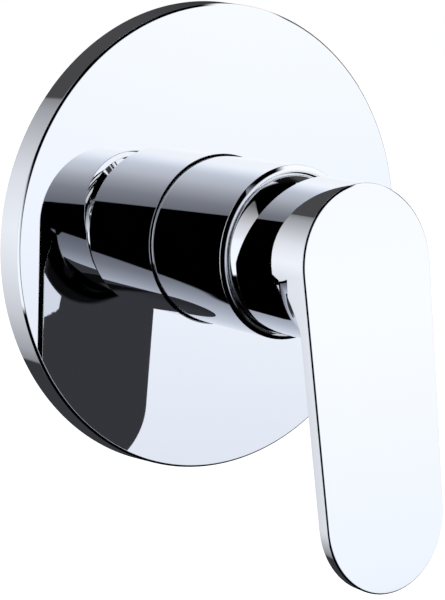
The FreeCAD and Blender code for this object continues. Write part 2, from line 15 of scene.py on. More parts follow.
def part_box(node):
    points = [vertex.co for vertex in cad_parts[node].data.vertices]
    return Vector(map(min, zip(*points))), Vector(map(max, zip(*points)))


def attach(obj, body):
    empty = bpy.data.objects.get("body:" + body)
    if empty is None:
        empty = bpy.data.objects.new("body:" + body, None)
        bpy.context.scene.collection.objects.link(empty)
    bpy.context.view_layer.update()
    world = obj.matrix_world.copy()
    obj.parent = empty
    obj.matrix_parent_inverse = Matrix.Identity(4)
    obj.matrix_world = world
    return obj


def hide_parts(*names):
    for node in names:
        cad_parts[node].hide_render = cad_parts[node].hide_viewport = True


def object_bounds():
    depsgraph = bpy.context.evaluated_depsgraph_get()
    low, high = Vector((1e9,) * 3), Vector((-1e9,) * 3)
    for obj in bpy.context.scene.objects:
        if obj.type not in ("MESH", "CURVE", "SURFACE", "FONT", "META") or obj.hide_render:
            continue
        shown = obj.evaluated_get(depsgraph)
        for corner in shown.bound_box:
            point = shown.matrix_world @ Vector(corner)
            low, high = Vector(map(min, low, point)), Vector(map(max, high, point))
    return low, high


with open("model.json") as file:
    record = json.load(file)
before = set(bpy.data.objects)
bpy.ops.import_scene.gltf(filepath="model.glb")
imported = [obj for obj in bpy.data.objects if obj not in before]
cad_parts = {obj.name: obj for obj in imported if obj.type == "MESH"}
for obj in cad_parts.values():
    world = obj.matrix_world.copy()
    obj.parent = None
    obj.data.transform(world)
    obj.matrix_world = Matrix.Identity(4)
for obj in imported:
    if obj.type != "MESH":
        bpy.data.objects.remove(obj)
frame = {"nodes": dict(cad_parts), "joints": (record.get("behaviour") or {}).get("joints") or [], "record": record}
cad_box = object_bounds()

bl_info = {
    "name": "Concealed mixer tap",
    "version": (1, 0, 0),
    "blender": (4, 5, 0),
    "location": "View3D > Sidebar > Tap",
    "description": "Polished pieces, materials and studio for a concealed single-lever mixer",
    "category": "Add Mesh",
}

# How finely round pieces are spun, which edges count as crisp, which vertices count as one, and how strongly
# large faces lead the shading, out of 100
SPIN_STEPS = 256
ARC_STEP = math.radians(3)
SHARP_ANGLE = math.radians(20)
MERGE_GAP = 1e-7
CAD_MERGE_GAP = 1e-6
LARGE_FACES_LEAD = 100


def reach_of(node):
    """A node's greatest X, its back and its front as distances out."""
    low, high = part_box(node)
    return high.x, -high.y, -low.y


PLATE_BACK_RADIUS, FINISHED_WALL, PLATE_FRONT = reach_of("cover_plate")
SLEEVE_RADIUS, SLEEVE_BACK, SLEEVE_FRONT = reach_of("sleeve")
SKIRT_RADIUS, SKIRT_BACK = reach_of("dome_cap")[:2]
HUB_RADIUS, HUB_BACK, LEVER_FRONT = reach_of("lever_handle")
PIVOT_OUT = -next(joint for joint in frame["joints"] if joint["name"] == "lever_lift")["pos_m"][1]


class TapSizes(bpy.types.PropertyGroup):
    """Sizes of the polished pieces that a user may want to change."""
    plate_flare: bpy.props.FloatProperty(
        name="Plate flare", description="How much wider the rim is at the wall than at the front",
        default=0.0006, unit="LENGTH")
    plate_wall: bpy.props.FloatProperty(
        name="Plate wall", description="Metal thickness of the plate's front", default=0.002, unit="LENGTH")
    plate_rim_wall: bpy.props.FloatProperty(
        name="Rim wall", description="Metal thickness of the plate's rim", default=0.0015, unit="LENGTH")
    plate_chamfer: bpy.props.FloatProperty(
        name="Plate chamfer", description="Width of the bevel round the plate's front edge",
        default=0.0007, unit="LENGTH")
    plate_hole_clearance: bpy.props.FloatProperty(
        name="Plate hole clearance", description="Gap between sleeve and plate", default=0.0004,
        unit="LENGTH")
    sleeve_bore: bpy.props.FloatProperty(
        name="Sleeve bore", description="Inner radius of the sleeve", default=0.0248, unit="LENGTH")
    sleeve_bevel: bpy.props.FloatProperty(
        name="Sleeve bevel", description="Width of the bevel round the sleeve's front edge",
        default=0.00125, unit="LENGTH")
    dome_radius: bpy.props.FloatProperty(
        name="Dome radius", description="Radius of the cap's ball, centred where the lever tilts",
        default=0.02692, unit="LENGTH")
    dome_wall: bpy.props.FloatProperty(
        name="Dome wall", description="Metal thickness of the dome cap", default=0.0016, unit="LENGTH")
    hub_back_trim: bpy.props.FloatProperty(
        name="Hub back trim", description="How far the hub's back edge is drawn in", default=0.00013,
        unit="LENGTH")
    hub_cone_end: bpy.props.FloatProperty(
        name="Hub cone end", description="Distance out where the casting's hub stops narrowing",
        default=0.121174, unit="LENGTH")
    face_radius: bpy.props.FloatProperty(
        name="Face radius", description="Radius of the lever's face round the hub", default=0.0244,
        unit="LENGTH")
    face_out: bpy.props.FloatProperty(
        name="Face out", description="Distance out of the middle of the lever's face", default=0.1282,
        unit="LENGTH")
    blend_start: bpy.props.FloatProperty(
        name="Blend start", description="Distance out where the blend leaves the hub", default=0.1165674,
        unit="LENGTH")
    blend_root: bpy.props.FloatProperty(
        name="Blend root", description="Radius at which the casting's blend starts", default=0.024548,
        unit="LENGTH")
    blend_radius: bpy.props.FloatProperty(
        name="Blend radius", description="Radius of the concave blend under the hub", default=0.012,
        unit="LENGTH")
    edge_rounding: bpy.props.FloatProperty(
        name="Edge rounding", description="How far polishing has rounded the crisp edges",
        default=0.00012, unit="LENGTH")


class TapColours(bpy.types.PropertyGroup):
    """Colours of the finishes."""
    chrome: bpy.props.FloatVectorProperty(
        name="Chrome", description="Reflection colour of the plating", default=(0.955, 0.962, 0.975),
        size=3, min=0.0, max=1.0, subtype="COLOR")
    brass: bpy.props.FloatVectorProperty(
        name="Brass", description="Colour of the cast body", default=(0.68, 0.50, 0.25),
        size=3, min=0.0, max=1.0, subtype="COLOR")
    housing: bpy.props.FloatVectorProperty(
        name="Cartridge plastic", description="Colour of the cartridge housing",
        default=(0.045, 0.048, 0.055), size=3, min=0.0, max=1.0, subtype="COLOR")
    rotor: bpy.props.FloatVectorProperty(
        name="Rotor plastic", description="Colour of the rotor and disc carrier", default=(0.72, 0.71, 0.68),
        size=3, min=0.0, max=1.0, subtype="COLOR")
    limit_ring: bpy.props.FloatVectorProperty(
        name="Limit ring", description="Colour of the hot limit ring", default=(0.35, 0.015, 0.012),
        size=3, min=0.0, max=1.0, subtype="COLOR")
    floor: bpy.props.FloatVectorProperty(
        name="Floor", description="Colour of the studio floor", default=(0.92, 0.92, 0.92),
        size=3, min=0.0, max=1.0, subtype="COLOR")


def sizes():
    """The sizes as they stand in the panel."""
    return bpy.context.scene.tap_sizes


def colours():
    """The colours as they stand in the panel."""
    return bpy.context.scene.tap_colours


# Modelling steps

def clear_selection():
    """Leaves edit mode and deselects every object."""
    if bpy.context.object and bpy.context.object.mode != "OBJECT":
        bpy.ops.object.mode_set(mode="OBJECT")
    bpy.ops.object.select_all(action="DESELECT")


def pick(piece):
    """Selects one piece alone and makes it active."""
    clear_selection()
    piece.select_set(True)
    bpy.context.view_layer.objects.active = piece


def apply_modifier(piece, modifier):
    """Bakes a modifier into the piece's mesh."""
    pick(piece)
    bpy.ops.object.modifier_apply(modifier=modifier.name)


def arc(centre, radius, start, end):
    """Points (radius, out) along an arc in a section, between two angles in degrees from +X to +out."""
    turn = math.radians(end - start)
    count = max(2, math.ceil(abs(turn) / ARC_STEP))
    angles = [math.radians(start) + turn * step / count for step in range(count + 1)]
    return [(centre[0] + radius * math.cos(angle), centre[1] + radius * math.sin(angle))
            for angle in angles]


def draw_section(name, points):
    """A closed chain of edges through 3-D points, extruded vertex by vertex."""
    clear_selection()
    bpy.ops.mesh.primitive_plane_add(size=MERGE_GAP)
    piece = bpy.context.object
    piece.name = name
    bpy.ops.object.mode_set(mode="EDIT")
    bpy.ops.mesh.select_mode(type="VERT")
    bpy.ops.mesh.select_all(action="SELECT")
    bpy.ops.mesh.merge(type="CENTER")
    bpy.ops.transform.translate(value=points[0])
    for here, there in zip(points, points[1:] + points[:1]):
        bpy.ops.mesh.extrude_region_move(TRANSFORM_OT_translate={"value": Vector(there) - Vector(here)})
    bpy.ops.mesh.select_all(action="SELECT")
    bpy.ops.mesh.remove_doubles(threshold=MERGE_GAP)
    return piece


def spin_section(name, section):
    """Solid of revolution about the tap's axis from a closed section of (radius, out) points."""
    piece = draw_section(name, [Vector((radius, -out, 0)) for radius, out in section])
    bpy.ops.mesh.select_all(action="SELECT")
    bpy.ops.mesh.spin(steps=SPIN_STEPS, angle=2 * math.pi, center=(0, 0, 0), axis=(0, 1, 0))
    bpy.ops.mesh.select_all(action="SELECT")
    bpy.ops.mesh.remove_doubles(threshold=MERGE_GAP)
    bpy.ops.mesh.normals_make_consistent(inside=False)
    return piece


def round_sharp_edges(width, segments=3):
    """Bevels every crisp edge of the piece in edit mode."""
    bpy.ops.mesh.select_mode(type="EDGE")
    bpy.ops.mesh.select_all(action="DESELECT")
    bpy.ops.mesh.edges_select_sharp(sharpness=SHARP_ANGLE)
    bpy.ops.mesh.bevel(offset=width, segments=segments, affect="EDGES")


def smooth_finish(piece):
    """Smooth shading in which the large faces keep their own direction."""
    pick(piece)
    bpy.ops.object.shade_smooth()
    even = piece.modifiers.new("even_normals", "WEIGHTED_NORMAL")
    even.weight = LARGE_FACES_LEAD
    apply_modifier(piece, even)


def copy_node(name, node):
    """A separate, merged copy of a frame node's mesh."""
    piece = bpy.data.objects.new(name, frame["nodes"][node].data.copy())
    bpy.context.scene.collection.objects.link(piece)
    pick(piece)
    bpy.ops.object.mode_set(mode="EDIT")
    bpy.ops.mesh.select_all(action="SELECT")
    bpy.ops.mesh.remove_doubles(threshold=CAD_MERGE_GAP)
    bpy.ops.object.mode_set(mode="OBJECT")
    return piece


def dress(piece, material, body, node):
    """Gives a finished piece its material and its body, and hides the frame node that it stands for."""
    clear_selection()
    piece.data.materials.clear()
    piece.data.materials.append(material)
    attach(piece, body)
    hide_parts(node)


# Materials

class Graph:
    """Short words for building a shader's nodes."""

    def __init__(self, tree):
        self.tree = tree
        tree.nodes.clear()

    def add(self, kind, inputs=None, **settings):
        """A new node with its settings and inputs."""
        node = self.tree.nodes.new(kind)
        for key, value in settings.items():
            setattr(node, key, value)
        for key, value in (inputs or {}).items():
            self.put(node.inputs[key], value)
        return node

    def put(self, socket, value):
        """Links a socket to another node's output, or sets its value."""
        if isinstance(value, bpy.types.NodeSocket):
            self.tree.links.new(value, socket)
        else:
            socket.default_value = value

    def math(self, operation, *values):
        """One step of arithmetic."""
        node = self.add("ShaderNodeMath", operation=operation)
        for socket, value in zip(node.inputs, values):
            self.put(socket, value)
        return node.outputs[0]

    def ease(self, value, low, high, low_to=0.0, high_to=1.0):
        """Smooth step of a value from one number to another."""
        node = self.add("ShaderNodeMapRange", interpolation_type="SMOOTHSTEP")
        for socket, number in zip(node.inputs, (value, low, high, low_to, high_to)):
            self.put(socket, number)
        return node.outputs[0]

    def overlap(self, *shares):
        """Where every one of several shares from 0 to 1 holds."""
        whole = shares[0]
        for share in shares[1:]:
            whole = self.math("MULTIPLY", whole, share)
        return whole

    def ramp(self, value, stops):
        """Colour ramp of (place, colour) stops, its colours as screen values from 0 to 255."""
        node = self.add("ShaderNodeValToRGB", inputs={"Fac": value})
        elements = node.color_ramp.elements
        elements[0].position = stops[0][0]
        elements[1].position = stops[-1][0]
        for place, colour in stops[1:-1]:
            elements.new(place)
        for element, (place, colour) in zip(elements, stops):
            element.color = screen_colour(colour)
        return node.outputs[0]

    def mix(self, amount, first, second, blend_type="MIX"):
        """A blend of two colours."""
        node = self.add("ShaderNodeMix", data_type="RGBA", blend_type=blend_type)
        self.put(node.inputs[0], amount)
        self.put(node.inputs[6], first)
        self.put(node.inputs[7], second)
        return node.outputs[2]

    def tint(self, colour, by):
        """A colour dimmed by another colour or by a share from 0 to 1."""
        return self.mix(1.0, colour, by, "MULTIPLY")


def screen_colour(colour):
    """A colour as screens give it, 0 to 255 a channel, as linear light with full cover."""
    def linear(value):
        share = value / 255
        return share / 12.92 if share <= 0.04045 else ((share + 0.055) / 1.055) ** 2.4
    return (*(linear(value) for value in colour), 1.0)


def shader(name):
    """A new material, its graph and its principled shader."""
    material = bpy.data.materials.new(name)
    material.use_nodes = True
    graph = Graph(material.node_tree)
    surface = graph.add("ShaderNodeBsdfPrincipled")
    graph.add("ShaderNodeOutputMaterial", inputs={"Surface": surface.outputs[0]})
    return material, graph, surface


def object_noise(graph, scale, detail, roughness):
    """Noise that sits still on its piece."""
    place = graph.add("ShaderNodeTexCoord").outputs["Object"]
    noise = graph.add("ShaderNodeTexNoise", inputs={
        "Vector": place, "Scale": scale, "Detail": detail, "Roughness": roughness})
    return noise.outputs["Fac"]


# Scale of the noise per metre, the span of it that a finish follows, and the roughness at that span's ends:
# its own for the plating, and for a grain its shares of the finish's roughness
BUFFING_SCALE = 90.0
BUFFING_SPAN = (0.3, 0.7)
CHROME_ROUGHNESS = (0.008, 0.02)
GRAIN_COLOUR_SPAN = (0.35, 0.65)
GRAIN_ROUGHNESS_SPAN = (0.3, 0.7)
GRAIN_SMOOTHEST = 0.85
GRAIN_ROUGHEST = 1.15
GRAIN_DEPTH = 0.0002


def polished_chrome():
    """Mirror plating, with the faint unevenness of buffed metal."""
    material, graph, surface = shader("polished_chrome")
    surface.inputs["Metallic"].default_value = 1.0
    surface.inputs["Base Color"].default_value = (*colours().chrome, 1)
    buffing = object_noise(graph, BUFFING_SCALE, detail=3.0, roughness=0.5)
    graph.put(surface.inputs["Roughness"], graph.ease(buffing, *BUFFING_SPAN, *CHROME_ROUGHNESS))
    return material


def sprinkled(name, low, high, roughness, scale, bump, metallic=0.0):
    """A finish of two close colours in a grain, with a fine bump."""
    material, graph, surface = shader(name)
    surface.inputs["Metallic"].default_value = metallic
    grain = object_noise(graph, scale, detail=5.0, roughness=0.6)
    share = graph.ease(grain, *GRAIN_COLOUR_SPAN)
    graph.put(surface.inputs["Base Color"], graph.mix(share, (*low, 1), (*high, 1)))
    graph.put(surface.inputs["Roughness"], graph.ease(
        grain, *GRAIN_ROUGHNESS_SPAN, roughness * GRAIN_SMOOTHEST, roughness * GRAIN_ROUGHEST))
    relief = graph.add("ShaderNodeBump", inputs={"Strength": bump, "Distance": GRAIN_DEPTH, "Height": grain})
    graph.put(surface.inputs["Normal"], relief.outputs[0])
    return material


def shade_of(colour, factor):
    """A lighter or darker shade of a colour."""
    return tuple(min(1.0, channel * factor) for channel in colour)


@functools.cache
def finishes():
    """Every finish by the record's slot name, made once."""
    tint = colours()
    return {
        "chrome": polished_chrome(),
        "cast_brass": sprinkled("shot_blasted_brass", shade_of(tint.brass, 0.8), shade_of(tint.brass, 1.1),
                                roughness=0.5, scale=1500.0, bump=0.5, metallic=1.0),
        "turned_brass": sprinkled("turned_brass", shade_of(tint.brass, 1.05), shade_of(tint.brass, 1.2),
                                  roughness=0.25, scale=400.0, bump=0.1, metallic=1.0),
        "steel": sprinkled("drawn_steel", (0.5, 0.5, 0.51), (0.6, 0.6, 0.61),
                           roughness=0.28, scale=700.0, bump=0.1, metallic=1.0),
        "housing_plastic": sprinkled("moulded_black_nylon", tint.housing, shade_of(tint.housing, 1.25),
                                     roughness=0.42, scale=1100.0, bump=0.15),
        "rotor_plastic": sprinkled("moulded_acetal", shade_of(tint.rotor, 0.96), tint.rotor,
                                   roughness=0.3, scale=900.0, bump=0.05),
        "ring_plastic": sprinkled("red_nylon", shade_of(tint.limit_ring, 0.85), tint.limit_ring,
                                  roughness=0.38, scale=900.0, bump=0.1),
        "cap_plastic": sprinkled("silver_plastic", (0.32, 0.33, 0.34), (0.36, 0.37, 0.38),
                                 roughness=0.22, scale=900.0, bump=0.05),
        "ceramic": sprinkled("lapped_alumina", (0.84, 0.83, 0.8), (0.88, 0.87, 0.85),
                             roughness=0.12, scale=1200.0, bump=0.03),
        "rubber": sprinkled("moulded_rubber", (0.012, 0.012, 0.013), (0.02, 0.02, 0.021),
                            roughness=0.4, scale=1200.0, bump=0.1),
        "fibre": sprinkled("pressed_fibre", (0.14, 0.03, 0.018), (0.24, 0.055, 0.03),
                           roughness=0.7, scale=1600.0, bump=0.4),
        "foam": sprinkled("closed_cell_foam", (0.008, 0.008, 0.008), (0.035, 0.035, 0.035),
                          roughness=0.85, scale=2200.0, bump=1.0),
    }


# Pieces

class TAP_OT_cover_plate(bpy.types.Operator):
    """Spin the thin cover plate with its deep rim, bevelled edge and grooved collar"""
    bl_idname = "tap.cover_plate"
    bl_label = "Cover plate"

    def execute(self, context):
        size = sizes()
        rim_front = PLATE_BACK_RADIUS - size.plate_flare
        inner_front = rim_front - size.plate_rim_wall
        inner_corner = 0.001
        inside = PLATE_FRONT - size.plate_wall
        hole = SLEEVE_RADIUS + size.plate_hole_clearance
        collar_wall = 0.003
        collar_depth = 0.0065
        collar_back = inside - collar_depth
        groove = 0.0012
        groove_middle = (inside + collar_back) / 2
        mouth = 0.0003
        section = [
            (hole, collar_back), (hole + collar_wall, collar_back), (hole + collar_wall, inside),
            (inner_front - inner_corner, inside), (inner_front, inside - inner_corner),
            (PLATE_BACK_RADIUS - size.plate_rim_wall, FINISHED_WALL), (PLATE_BACK_RADIUS, FINISHED_WALL),
            (rim_front, PLATE_FRONT - size.plate_chamfer), (rim_front - size.plate_chamfer, PLATE_FRONT),
            (hole + mouth, PLATE_FRONT), (hole, PLATE_FRONT - mouth),
            (hole, groove_middle + groove), (hole + groove, groove_middle + groove),
            (hole + groove, groove_middle - groove), (hole, groove_middle - groove),
        ]
        piece = spin_section("plate_shell", section)
        round_sharp_edges(size.edge_rounding)
        smooth_finish(piece)
        dress(piece, finishes()["chrome"], "valve", "cover_plate")
        return {"FINISHED"}


class TAP_OT_sleeve(bpy.types.Operator):
    """Spin the bevelled sleeve that covers the valve body's neck"""
    bl_idname = "tap.sleeve"
    bl_label = "Sleeve"

    def execute(self, context):
        size = sizes()
        tail_chamfer = 0.0005
        mouth = 0.0003
        lip_fall = 0.00028
        section = [
            (size.sleeve_bore, SLEEVE_BACK), (SLEEVE_RADIUS - tail_chamfer, SLEEVE_BACK),
            (SLEEVE_RADIUS, SLEEVE_BACK + tail_chamfer), (SLEEVE_RADIUS, SLEEVE_FRONT - size.sleeve_bevel),
            (SLEEVE_RADIUS - size.sleeve_bevel + lip_fall / 2, SLEEVE_FRONT - lip_fall),
            (size.sleeve_bore + mouth, SLEEVE_FRONT), (size.sleeve_bore, SLEEVE_FRONT - mouth),
        ]
        piece = spin_section("sleeve_tube", section)
        round_sharp_edges(size.edge_rounding)
        smooth_finish(piece)
        dress(piece, finishes()["chrome"], "valve", "sleeve")
        return {"FINISHED"}


class TAP_OT_dome_cap(bpy.types.Operator):
    """Spin the dome cap that closes the sleeve round the moving lever"""
    bl_idname = "tap.dome_cap"
    bl_label = "Dome cap"

    def execute(self, context):
        size = sizes()
        opening = 0.017
        skirt_bore = 0.022
        outer = size.dome_radius
        inner = outer - size.dome_wall
        pivot = (0.0, PIVOT_OUT)

        def angle_at(radius, distance):
            return math.degrees(math.acos(distance / radius))

        section = [(skirt_bore, SKIRT_BACK), (SKIRT_RADIUS, SKIRT_BACK)]
        section += arc(pivot, outer, angle_at(outer, SKIRT_RADIUS), angle_at(outer, opening))
        section += arc(pivot, inner, angle_at(inner, opening), angle_at(inner, skirt_bore))
        piece = spin_section("dome_shell", section)
        round_sharp_edges(size.edge_rounding)
        smooth_finish(piece)
        dress(piece, finishes()["chrome"], "valve", "dome_cap")
        return {"FINISHED"}


# Guides that the lever's casting is laid on: their inner radius, how far they run past the hub's back, and
# the degrees that the blend covers, from just under the hub's side to just before the blade
GUIDE_CORE = 0.02
GUIDE_OVERRUN = 0.002
BLEND_DEGREES = (186, 91)

# How near a vertex is to the surface that it lies on, how far it may lie before the blend's start, and the
# gap that is closed once the vertices have moved
ON_SURFACE = 2e-5
START_SLACK = 1e-6
MOVED_GAP = 3e-6


class TAP_OT_lever(bpy.types.Operator):
    """Polish the one-piece lever: hub, concave blend and flat blade"""
    bl_idname = "tap.lever"
    bl_label = "Lever"

    def execute(self, context):
        hub = self.hub_guide()
        blend = self.blend_guide()
        piece = copy_node("lever_casting", "lever_handle")
        self.mark(piece, hub, self.on_hub)
        self.mark(piece, blend, self.on_blend)
        self.lay_on(piece, hub)
        self.lay_on(piece, blend)
        bpy.ops.object.mode_set(mode="EDIT")
        bpy.ops.mesh.select_all(action="SELECT")
        bpy.ops.mesh.remove_doubles(threshold=MOVED_GAP)
        round_sharp_edges(sizes().edge_rounding, segments=2)
        smooth_finish(piece)
        self.take_normals(piece, hub)
        self.take_normals(piece, blend)
        clear_selection()
        hub.select_set(True)
        blend.select_set(True)
        bpy.ops.object.delete()
        dress(piece, finishes()["chrome"], "lever", "lever_handle")
        return {"FINISHED"}

    def hub_guide(self):
        """The hub's outside, narrowing evenly from its back to the face, finely spun."""
        ends = (HUB_BACK - GUIDE_OVERRUN, LEVER_FRONT)
        return self.spin_guide("hub_guide", [(self.guide_radius(out), out) for out in ends])

    def guide_radius(self, out):
        """The finished hub's radius at a distance out."""
        size = sizes()
        back = HUB_RADIUS - size.hub_back_trim
        return back + (size.face_radius - back) * (out - HUB_BACK) / (size.face_out - HUB_BACK)

    def blend_guide(self):
        """The concave blend between the hub and the back of the blade, finely spun."""
        size = sizes()
        middle = (self.guide_radius(size.blend_start) + size.blend_radius, size.blend_start)
        return self.spin_guide("blend_guide", arc(middle, size.blend_radius, *BLEND_DEGREES))

    def spin_guide(self, name, flank):
        """A smooth solid whose outside follows the flank's (radius, out) points."""
        guide = spin_section(name, [(GUIDE_CORE, flank[0][1]), *flank, (GUIDE_CORE, flank[-1][1])])
        pick(guide)
        bpy.ops.object.shade_smooth_by_angle(angle=SHARP_ANGLE)
        return guide

    def on_hub(self, radius, out):
        """Whether a point of the casting lies on the hub's outside."""
        size = sizes()
        share = min(1.0, (out - HUB_BACK) / (size.hub_cone_end - HUB_BACK))
        return abs(HUB_RADIUS + (size.face_radius - HUB_RADIUS) * share - radius) < ON_SURFACE

    def on_blend(self, radius, out):
        """Whether a point of the casting lies on the concave blend."""
        size = sizes()
        middle = size.blend_root + size.blend_radius
        distance = math.hypot(radius - middle, out - size.blend_start)
        return (radius < middle and out > size.blend_start - START_SLACK
                and abs(distance - size.blend_radius) < ON_SURFACE)

    def mark(self, piece, guide, belongs):
        """Groups the vertices of one of the casting's surfaces under its guide's name."""
        group = piece.vertex_groups.new(name=guide.name)
        group.add([vertex.index for vertex in piece.data.vertices
                   if belongs(math.hypot(vertex.co.x, vertex.co.z), -vertex.co.y)], 1.0, "REPLACE")

    def lay_on(self, piece, guide):
        """Moves the grouped vertices onto their guide."""
        lay = piece.modifiers.new("lay_on", "SHRINKWRAP")
        lay.target = guide
        lay.vertex_group = guide.name
        apply_modifier(piece, lay)

    def take_normals(self, piece, guide):
        """Gives the corners that lie on the guide its exact directions."""
        shading = piece.modifiers.new("take_normals", "DATA_TRANSFER")
        shading.object = guide
        shading.use_loop_data = True
        shading.data_types_loops = {"CUSTOM_NORMAL"}
        shading.loop_mapping = "POLYINTERP_NEAREST"
        shading.use_max_distance = True
        shading.max_distance = ON_SURFACE
        apply_modifier(piece, shading)


class TAP_OT_inner_finishes(bpy.types.Operator):
    """Give every piece that stays as it was made its own finish"""
    bl_idname = "tap.inner_finishes"
    bl_label = "Inner finishes"

    def execute(self, context):
        slots = {part["node"]: part["material_slot"] for part in frame["record"]["subparts"]}
        for name, piece in frame["nodes"].items():
            if piece.hide_render:
                continue
            piece.data.materials.clear()
            piece.data.materials.append(finishes()[slots[name]])
        return {"FINISHED"}


# Studio

CAMERA_PLACE = (-0.343918, -0.520324, 0.086611)
CAMERA_HEADING = 36.564
CAMERA_TILT = -10.445
CAMERA_ROLL = -0.4065
CAMERA_LENS = 108.78
SENSOR_WIDTH = 36.0

FLOOR_DROP = 0.25
FLOOR_RADIUS = 6.0
FLOOR_CORNERS = 96
FLOOR_ROUGHNESS = 0.9
FLOOR_GLOW = 0.9

STUDIO_STRENGTH = 1.06

# The lights are places on a far sphere round the tap. Headings are degrees to the right of the front, and
# elevations are degrees above level. "Rise" and "back" are the upward and backward parts of a direction, from
# -1 to 1. Each edge is a pair: where its light is gone and where it is full. Shades go by place along a ramp
# from left to right, or from bottom to top, as screen colours.

# Front window: a flat panel square to its heading, its corner and lean measured in the panel's own plane. At
# the upper right it doesn't dim with height.
WINDOW_HEADING = 30.0
WINDOW_CORNER = (-1.02, -0.38)
WINDOW_CORNER_EDGE = (0.608, 0.592)
WINDOW_LEAN = 0.30
WINDOW_LEAN_FROM = 0.60
WINDOW_GRAZE = (0.02, 0.06)
WINDOW_TOP = (59.0, 53.0)
WINDOW_RIGHT = (103.0, 101.0)
WHITE_ACROSS = (0.15, 0.45)
WHITE_RISE = (0.2, 0.5)
WINDOW_SHADES = [
    (0.20, (70, 73, 82)), (0.275, (106, 109, 118)), (0.345, (134, 137, 146)), (0.425, (173, 177, 188)),
    (0.50, (205, 210, 221)), (0.575, (220, 226, 239)), (0.655, (232, 238, 249)), (0.725, (245, 248, 254)),
    (0.80, (248, 251, 255)),
]
HEIGHT_SHADES = [
    (0.17, (193, 194, 197)), (0.21, (210, 212, 216)), (0.36, (229, 231, 238)), (0.43, (246, 248, 252)),
    (0.50, (255, 255, 255)), (0.67, (246, 246, 246)), (0.83, (213, 213, 213)), (0.92, (165, 165, 165)),
]

# Panel at the back left
BACK_LEFT = (-162.6, -161.4)
BACK_RIGHT = (-98.0, -104.0)
BACK_TOP = (62.0, 56.0)
BACK_BOTTOM = (-44.0, -40.0)
BACK_SHADES = [
    (0.17, (236, 240, 248)), (0.20, (228, 231, 238)), (0.25, (214, 217, 224)), (0.34, (183, 186, 192)),
    (0.38, (145, 146, 151)),
]
BACK_HEIGHT_SHADES = [
    (0.18, (203, 203, 203)), (0.30, (238, 238, 238)), (0.50, (255, 255, 255)), (0.64, (247, 247, 247)),
    (0.82, (206, 206, 206)),
]

# Tall light at the left: its top falls with the square of the degrees from its left end
SIDE_LEFT = (-90.2, -88.8)
SIDE_RIGHT = (-56.0, -60.0)
SIDE_BOTTOM = (-28.0, -24.0)
SIDE_TOP = 69.0
SIDE_TOP_START = 90.0
SIDE_TOP_FALL = 0.0172
SIDE_TOP_EDGE = (1.5, -1.5)
SIDE_SHADES = [
    (0.50, (243, 248, 255)), (0.64, (238, 243, 251)), (0.67, (227, 231, 239)), (0.80, (201, 203, 209)),
    (0.87, (172, 173, 177)), (0.95, (105, 106, 108)),
]

# Light over the back
OVERHEAD_RISE = (0.943, 0.955)
OVERHEAD_BACK = (0.12, 0.17)
OVERHEAD_COLOUR = (205, 207, 212)

# Dark room: charcoal behind, black in front, dimmer straight above and below
CHARCOAL_LOW = (52, 53, 57)
CHARCOAL_HIGH = (69, 69, 71)
CHARCOAL_RISE = (0.1, 0.6)
CHARCOAL_BACK = (0.02, 0.27)
STEEP_RISE = (0.72, 0.85)
STEEP_SHARES = (1.0, 0.1)

BLACK = (0.0, 0.0, 0.0, 1.0)
WHITE = (1.0, 1.0, 1.0, 1.0)


class Directions:
    """The direction that light comes from, as nodes in the studio's graph."""

    def __init__(self, graph):
        way = graph.add("ShaderNodeTexCoord").outputs["Generated"]
        parts = graph.add("ShaderNodeSeparateXYZ", inputs={"Vector": way})
        self.across, self.back, self.rise = parts.outputs
        front = graph.math("MULTIPLY", self.back, -1.0)
        self.heading = graph.math("DEGREES", graph.math("ARCTAN2", self.across, front))
        self.elevation = graph.math("DEGREES", graph.math("ARCSINE", self.rise))
        self.spread = graph.math("MULTIPLY_ADD", self.across, 0.5, 0.5)
        self.height = graph.math("MULTIPLY_ADD", self.rise, 0.5, 0.5)


